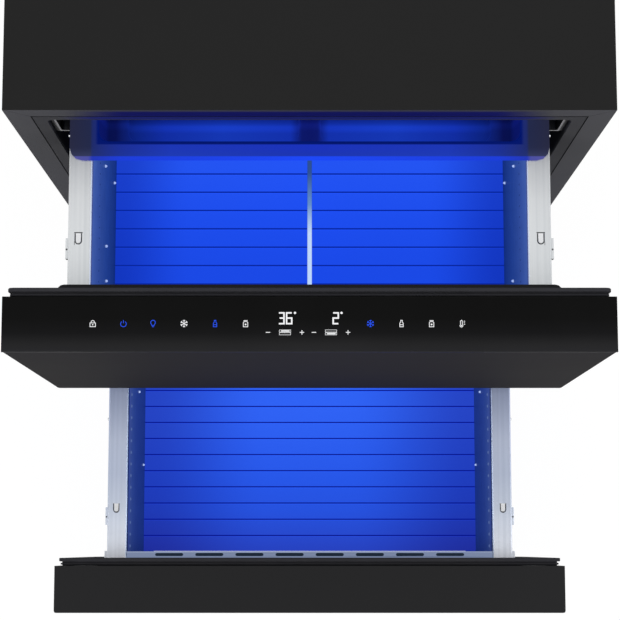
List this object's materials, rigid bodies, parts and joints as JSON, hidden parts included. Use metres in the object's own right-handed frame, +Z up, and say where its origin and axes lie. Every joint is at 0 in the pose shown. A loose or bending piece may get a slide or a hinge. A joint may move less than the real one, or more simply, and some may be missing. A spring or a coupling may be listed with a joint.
{
  "type": "undercounter drawer refrigerator",
  "caption": "Built-in cooler with stacked full-extension drawers on ball-bearing slides, a sliding tray, gasketed doors, a touch panel and a rear machine compartment.",
  "frame": {"origin": "centre of the whole object's footprint on the floor, with both drawers open as at rest", "axes": "+Z up, the drawers open towards -Y, +X to the right as seen from the front"},
  "size_m": [0.596, 1.0542, 0.87],
  "materials": {
    "black_steel": "fine satin powder coat",
    "black_plastic": "matt moulded",
    "gloss_black": "smooth satin gloss",
    "black_rubber": "matt extruded",
    "foam": "foamed in place",
    "brushed_steel": "brushed along the depth",
    "white_plastic": "fine satin",
    "white_steel": "satin coat",
    "zinc_steel": "bright zinc plated",
    "fin_aluminium": "mill finish",
    "smoked_plastic": "clear smoked, polished",
    "lamp_lens": "opal lens",
    "dark_shell": "gloss enamel"
  },
  "bodies": {
    "cabinet": {"side_panel_left": "black_steel", "side_panel_right": "black_steel", "top_panel": "black_steel", "back_panel": "black_steel", "front_frame": "black_plastic", "toe_grille": "black_plastic", "upper_liner": "black_plastic", "lower_liner": "black_plastic", "cable_gland": "black_rubber", "insulation": "foam", "upper_duct_cover": "white_plastic", "lower_duct_cover": "white_plastic", "base_pan": "zinc_steel", "foot_front_left": "zinc_steel", "foot_front_right": "zinc_steel", "foot_rear_left": "zinc_steel", "foot_rear_right": "zinc_steel", "upper_rail_left": "zinc_steel", "upper_rail_right": "zinc_steel", "lower_rail_left": "zinc_steel", "lower_rail_right": "zinc_steel", "upper_evaporator": "fin_aluminium", "lower_evaporator": "fin_aluminium", "condenser": "fin_aluminium", "upper_light_bar": "lamp_lens", "lower_light_bar": "lamp_lens", "compressor": "dark_shell"},
    "upper_drawer": {"upper_door_shell": "black_steel", "upper_door_core": "foam", "upper_door_liner": "black_plastic", "upper_gasket": "black_rubber", "upper_side_left": "brushed_steel", "upper_side_right": "brushed_steel", "upper_floor": "white_plastic", "upper_front_wall": "white_steel", "upper_back_wall": "white_steel", "upper_runner_left": "zinc_steel", "upper_runner_right": "zinc_steel", "touch_panel": "gloss_black", "upper_divider": "brushed_steel"},
    "upper_slides": {"upper_middle_left": "zinc_steel", "upper_middle_right": "zinc_steel"},
    "tray": {"sliding_tray": "smoked_plastic"},
    "lower_drawer": {"lower_door_shell": "black_steel", "lower_door_core": "foam", "lower_door_liner": "black_plastic", "lower_gasket": "black_rubber", "lower_side_left": "brushed_steel", "lower_side_right": "brushed_steel", "lower_floor": "white_plastic", "lower_front_wall": "white_steel", "lower_back_wall": "white_steel", "lower_runner_left": "zinc_steel", "lower_runner_right": "zinc_steel"},
    "lower_slides": {"lower_middle_left": "zinc_steel", "lower_middle_right": "zinc_steel"},
    "upper_fan": {"upper_fan": "black_plastic"},
    "lower_fan": {"lower_fan": "black_plastic"},
    "condenser_fan": {"condenser_fan": "black_plastic"}
  },
  "joints": [
    {"name": "upper_drawer_travel", "type": "slide", "parent": "cabinet", "child": "upper_drawer", "axis": [0, -1, 0], "range_m": [-0.1714, 0.2681]},
    {"name": "upper_slides_travel", "type": "slide", "parent": "cabinet", "child": "upper_slides", "axis": [0, -1, 0], "range_m": [-0.0857, 0.13405]},
    {"name": "tray_travel", "type": "slide", "parent": "upper_drawer", "child": "tray", "axis": [0, -1, 0], "range_m": [-0.03, 0.13]},
    {"name": "lower_drawer_travel", "type": "slide", "parent": "cabinet", "child": "lower_drawer", "axis": [0, -1, 0], "range_m": [-0.4309, 0.0086]},
    {"name": "lower_slides_travel", "type": "slide", "parent": "cabinet", "child": "lower_slides", "axis": [0, -1, 0], "range_m": [-0.21545, 0.0043]},
    {"name": "upper_fan_spin", "type": "hinge", "parent": "cabinet", "child": "upper_fan", "pos_m": [0, 0.4216, 0.77], "axis": [0, 1, 0], "continuous": true},
    {"name": "lower_fan_spin", "type": "hinge", "parent": "cabinet", "child": "lower_fan", "pos_m": [0, 0.4216, 0.391], "axis": [0, 1, 0], "continuous": true},
    {"name": "condenser_fan_spin", "type": "hinge", "parent": "cabinet", "child": "condenser_fan", "pos_m": [-0.1178, 0.42335, 0.11825], "axis": [1, 0, 0], "continuous": true}
  ],
  "couplings": [
    {"joint": "upper_slides_travel", "follows": "upper_drawer_travel", "ratio": 0.5},
    {"joint": "lower_slides_travel", "follows": "lower_drawer_travel", "ratio": 0.5}
  ]
}
